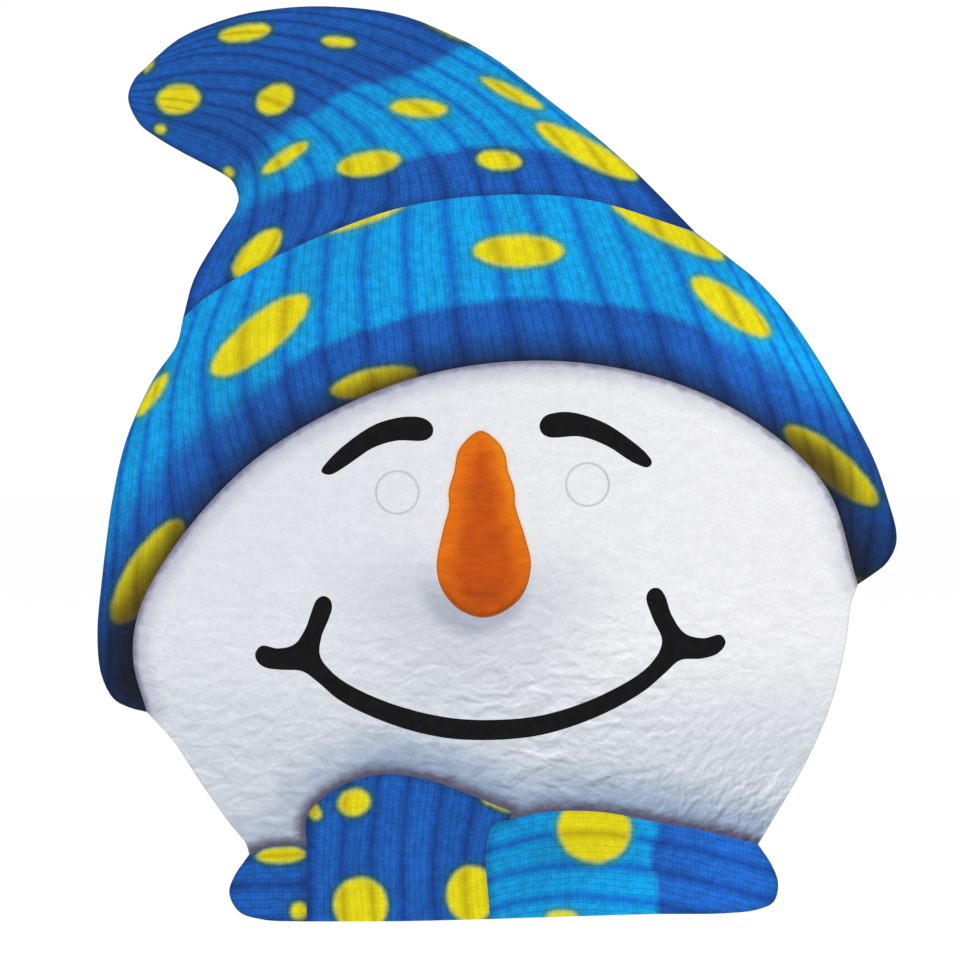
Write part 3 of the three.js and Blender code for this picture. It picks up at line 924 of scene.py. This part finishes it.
OUTLINES = {node: flat_outlines(node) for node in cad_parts}

# Each cloth: its ribs, its dots, and its nodes with the sign of their blue (+1 is the light one)
CLOTHS = [
    (CROWN_RIBS, CROWN_DOTS, {"print_hat_tip": -1, "print_hat_band": 1, "print_hat_crown": -1}),
    (CUFF_RIBS, CUFF_DOTS, {"print_cuff_upper": 1, "print_cuff_lower": -1}),
    (SCARF_RIBS, SCARF_DOTS, {"print_scarf_middle": 1, "print_scarf_right": -1}),
    (KNOT_RIBS, KNOT_DOTS, {"print_scarf_knot": -1}),
    (SCARF_END_RIBS, SCARF_END_DOTS, {"print_scarf_left": -1}),
]

# Printed shading along a node's borders: neighbour, width, strength
SHADING = {
    "print_hat_tip": [("backing_board", 0.0014, 0.4)],
    "print_hat_band": [("backing_board", 0.0020, 0.35)],
    "print_hat_crown": [("backing_board", 0.0018, 0.35), ("print_cuff_upper", 0.0030, 0.35)],
    "print_cuff_upper": [("backing_board", 0.0020, 0.35)],
    "print_cuff_lower": [
        ("backing_board", 0.0020, 0.4), ("print_face", 0.0130, 0.74), ("print_face", 0.0020, 0.8),
    ],
    "print_scarf_left": [("print_scarf_knot", 0.0050, 0.35), ("backing_board", 0.002, 0.3)],
    "print_scarf_knot": [("print_face", 0.0030, 0.35), ("print_scarf_middle", 0.002, 0.3)],
    "print_scarf_middle": [("print_scarf_knot", 0.0040, 0.4)],
    "print_scarf_right": [("backing_board", 0.0020, 0.35)],
}

# The nose's printed shadow falls down and to the left
NOSE_SHADOW_SHIFT = (-0.003, -0.003)

# Soft spots over the knit, x, z, radius and change: darker where it turns into shade,
# lighter where it faces the light
DARK_SPOTS = [
    (-0.125, -0.060, 0.028, 0.65), (-0.120, -0.050, 0.008, 0.75), (-0.119, -0.064, 0.011, 0.9),
    (0.126, -0.024, 0.024, 0.7), (0.119, -0.028, 0.008, 0.6), (0.1065, 0.0045, 0.012, 0.7),
    (-0.086, 0.132, 0.050, 0.1), (-0.025, 0.138, 0.030, 0.1), (0.012, -0.125, 0.016, 0.18),
    (-0.085, 0.115, 0.025, 0.08), (-0.084, 0.029, 0.018, 0.2), (0.034, -0.113, 0.018, 0.12),
]
LIGHT_SPOTS = [
    (0.094, 0.042, 0.026, 0.3), (0.030, 0.100, 0.045, 0.08), (0.078, -0.128, 0.024, 0.45),
]


def edge_shade(node, places):
    """Printed darkness from 0 to 1, along a node's shaded borders and in the dark spots."""
    clear = np.ones(len(places))
    for neighbour, width, strength in SHADING[node]:
        near = np.clip(1 - distance_to(shared_border(node, neighbour), places) / width, 0, 1)
        clear *= 1 - strength * near ** 2 * (3 - 2 * near)
    for x, z, radius, strength in DARK_SPOTS:
        reach = np.linalg.norm(places - (x, z), axis=1) / radius
        clear *= 1 - strength * np.exp(-reach ** 2)
    return 1 - clear


def tone(places):
    """How much brighter than plain the print is at each place."""
    level = np.ones(len(places))
    for x, z, radius, gain in LIGHT_SPOTS:
        reach = np.linalg.norm(places - (x, z), axis=1) / radius
        level += gain * np.exp(-reach ** 2)
    return level


knit = knit_paint()
for ribs, dots, nodes in CLOTHS:
    chart = Chart(ribs)
    for node, blue in nodes.items():
        piece = printed_sheet(node, KNIT_MESH)
        places = places_of(piece)
        rib, row = chart.read(places)
        borders = [
            side
            for other, other_blue in nodes.items()
            if other_blue != blue
            for side in shared_border(node, other)
        ]
        store(piece, "rib", rib)
        store(piece, "row", row)
        store(piece, "light", blue * distance_to(borders, places))
        store(piece, "dot", dot_depth(dots, places))
        store(piece, "shade", edge_shade(node, places))
        store(piece, "tone", tone(places))
        piece.data.materials.append(knit)

scarf_edge = [
    side
    for node in ("print_scarf_left", "print_scarf_knot", "print_scarf_middle", "print_scarf_right")
    for side in shared_border("print_face", node)
]
hat_edge = shared_border("print_face", "print_cuff_lower")
nose_edge = sides(OUTLINES["print_nose"])
cheek_edge = shared_border("print_face", "backing_board")
discs = {side: disc_outline(f"print_eye_{side}") for side in ("left", "right")}
eye_cuts = sides(list(discs.values()))

snow = snow_paint()
for node, spacing, body, outlines in (
    ("print_face", FACE_MESH, "mask", OUTLINES["print_face"]),
    ("print_eye_left", SMALL_MESH, "eye_left", [discs["left"]]),
    ("print_eye_right", SMALL_MESH, "eye_right", [discs["right"]]),
):
    piece = printed_sheet(node, spacing, body, outlines)
    places = places_of(piece)
    unshaded = places - NOSE_SHADOW_SHIFT
    under_nose = distance_to(nose_edge, unshaded) * ~inside(OUTLINES["print_nose"], unshaded)
    store(piece, "scarf", distance_to(scarf_edge, places))
    store(piece, "hat", distance_to(hat_edge, places))
    store(piece, "nose", distance_to(nose_edge, places))
    store(piece, "under_nose", under_nose)
    store(piece, "edge", distance_to(cheek_edge, places))
    store(piece, "cut", distance_to(eye_cuts, places))
    piece.data.materials.append(snow)

nose = printed_sheet("print_nose", SMALL_MESH)
store(nose, "depth", distance_to(nose_edge, places_of(nose)))
nose.data.materials.append(carrot_paint())

black = ink_paint()
for node in ("print_brow_left", "print_brow_right", "print_smile"):
    printed_sheet(node, FACE_MESH).data.materials.append(black)

# The card, its punch-outs and the tabs keep their CAD shape
board = board_paint()
tab = tab_paint()
for node, paper in (
    ("backing_board", board),
    ("eye_disc_left", board),
    ("eye_disc_right", board),
    ("elastic_tab_left", tab),
    ("elastic_tab_right", tab),
):
    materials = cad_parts[node].data.materials
    materials.clear()
    materials.append(paper)


# ---------------------------------------------------------------- studio

FLOOR_DROP = 0.12
FLOOR_REACH = 30
FLOOR_WHITE = (0.97, 0.97, 0.97, 1)
FLOOR_ROUGHNESS = 0.9
WHITE = (1, 1, 1, 1)
SURROUND_LIGHT = 1.02


def area_light(name, place, size, power):
    """Soft square light aimed at the middle of the mask."""
    light = bpy.data.lights.new(name, "AREA")
    light.size = size
    light.energy = power
    lamp = bpy.data.objects.new(name, light)
    lamp.location = place
    lamp.rotation_mode = "QUATERNION"
    lamp.rotation_quaternion = (-Vector(place)).to_track_quat("-Z", "Y")
    bpy.context.scene.collection.objects.link(lamp)


def studio_floor(height):
    """Plain pale floor, far wider than any view."""
    mesh = bpy.data.meshes.new("studio_floor")
    signs = [(-1, -1), (1, -1), (1, 1), (-1, 1)]
    corners = [(x * FLOOR_REACH, y * FLOOR_REACH, height) for x, y in signs]
    mesh.from_pydata(corners, [], [(0, 1, 2, 3)])
    floor = bpy.data.objects.new("studio_floor", mesh)
    bpy.context.scene.collection.objects.link(floor)
    paint = Paint("studio_white")
    paint.surface.inputs["Base Color"].default_value = FLOOR_WHITE
    paint.surface.inputs["Roughness"].default_value = FLOOR_ROUGHNESS
    paint.surface.inputs["Specular IOR Level"].default_value = 0.0
    mesh.materials.append(paint.material)


studio_floor(CAD_BOX[0].z - FLOOR_DROP)
area_light("key", (-0.9, -1.6, 1.5), size=1.2, power=5.5)
area_light("fill", (1.4, -1.3, 0.5), size=1.5, power=3.0)

world = bpy.data.worlds.new("studio")
world.use_nodes = True
world.node_tree.nodes["Background"].inputs["Color"].default_value = WHITE
world.node_tree.nodes["Background"].inputs["Strength"].default_value = SURROUND_LIGHT
bpy.context.scene.world = world
bpy.context.scene.view_settings.view_transform = "Standard"

camera = bpy.data.objects.new("camera", bpy.data.cameras.new("camera"))
camera.data.lens = LENS
camera.data.sensor_width = SENSOR
camera_distance = VIEW_WIDTH * LENS / SENSOR
camera.location = (VIEW_CENTRE[0], CAD_BOX[0].y - camera_distance, VIEW_CENTRE[1])
camera.rotation_euler = (math.pi / 2, 0, 0)
bpy.context.scene.collection.objects.link(camera)
bpy.context.scene.camera = camera

bpy.context.view_layer.update()
